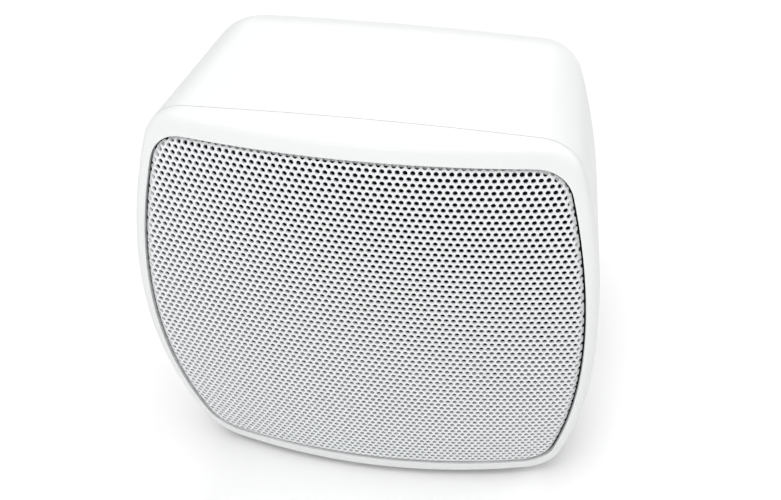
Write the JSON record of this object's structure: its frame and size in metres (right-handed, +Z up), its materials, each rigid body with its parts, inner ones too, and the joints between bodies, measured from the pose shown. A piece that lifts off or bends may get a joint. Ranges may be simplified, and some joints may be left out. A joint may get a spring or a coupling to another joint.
{
  "type": "battery loudhailer",
  "caption": "Compact box-shaped battery loudhailer with a domed perforated grille, tapered shell, rear control panel, knob, buttons and battery door.",
  "frame": {"origin": "on the surface the box stands on, under the middle of its bounding box", "axes": "+Z up, the domed grille faces -Y, the control panel faces +Y"},
  "size_m": [0.1008, 0.068, 0.0999],
  "materials": {
    "white_abs": "satin moulded ABS",
    "white_steel_mesh": "white powder-coated perforated steel",
    "black_cloth": "fine woven acoustic cloth",
    "grey_abs": "moulded ABS",
    "light_grey_abs": "fine textured ABS",
    "knob_abs": "moulded ABS",
    "button_rubber": "silicone rubber",
    "grey_rubber": "soft rubber",
    "black_rubber": "soft rubber",
    "black_foam": "closed-cell foam",
    "zinc_steel": "zinc plated",
    "black_painted_steel": "black electrocoat",
    "ferrite": "ground ferrite",
    "aluminium_foil": "bright",
    "copper_wire": "enamelled winding wire",
    "pulp_paper": "pressed paper pulp",
    "woven_suspension": "resin-dipped cotton",
    "fibre_board": "phenolic board",
    "lead_insulation": "PVC insulation",
    "circuit_laminate": "solder mask",
    "black_resin": "moulded resin",
    "clear_resin": "clear moulding",
    "nickel": "nickel plated",
    "cell_wrap": "shrink sleeve"
  },
  "bodies": {
    "casing": {"front_bezel": "white_abs", "main_shell": "white_abs", "grille": "white_steel_mesh", "grille_cloth": "black_cloth", "baffle": "grey_abs", "baffle_screws": "zinc_steel", "driver_screws": "zinc_steel", "board_screws": "zinc_steel", "foot_pads": "grey_rubber", "driver_gasket": "black_foam", "driver_basket": "black_painted_steel", "top_plate": "zinc_steel", "magnet": "ferrite", "yoke": "zinc_steel", "surround": "black_foam", "spider": "woven_suspension", "driver_terminals": "fibre_board", "driver_leads": "lead_insulation", "control_panel": "light_grey_abs", "panel_seal": "black_foam", "circuit_board": "circuit_laminate", "amplifier_chip": "black_resin", "filter_capacitors": "aluminium_foil", "volume_control": "zinc_steel", "talk_switch": "black_resin", "power_switch": "black_resin", "microphone_capsule": "aluminium_foil", "microphone_boot": "black_rubber", "headset_jack": "black_resin", "charging_port": "nickel", "status_led": "clear_resin", "status_lens": "clear_resin", "battery_tray": "grey_abs", "battery_cell": "cell_wrap", "positive_contact": "nickel", "negative_contact": "nickel"},
    "volume_knob": {"volume_knob": "knob_abs", "volume_shaft": "zinc_steel"},
    "talk_button": {"talk_button": "button_rubber"},
    "power_button": {"power_button": "button_rubber"},
    "battery_door": {"battery_door": "white_abs"},
    "cone_assembly": {"cone": "pulp_paper", "dust_cap": "pulp_paper", "coil_former": "aluminium_foil", "voice_coil": "copper_wire"}
  },
  "joints": [
    {"name": "volume_turn", "type": "hinge", "parent": "casing", "child": "volume_knob", "pos_m": [-0.012, 0.032, 0.0605], "axis": [0, -1, 0], "range_deg": [0, 300]},
    {"name": "talk_press", "type": "slide", "parent": "casing", "child": "talk_button", "axis": [0, -1, 0], "range_m": [0, 0.0008], "stiffness_N_per_m": 1500, "springref_m": -0.0003},
    {"name": "power_press", "type": "slide", "parent": "casing", "child": "power_button", "axis": [0, -1, 0], "range_m": [0, 0.0005], "stiffness_N_per_m": 2500, "springref_m": -0.0003},
    {"name": "door_pull", "type": "slide", "parent": "casing", "child": "battery_door", "axis": [0, 1, 0], "range_m": [0, 0.015]},
    {"name": "cone_stroke", "type": "slide", "parent": "casing", "child": "cone_assembly", "axis": [0, -1, 0], "range_m": [-0.0015, 0.0015], "stiffness_N_per_m": 1500, "deforming": ["surround", "spider"]}
  ]
}
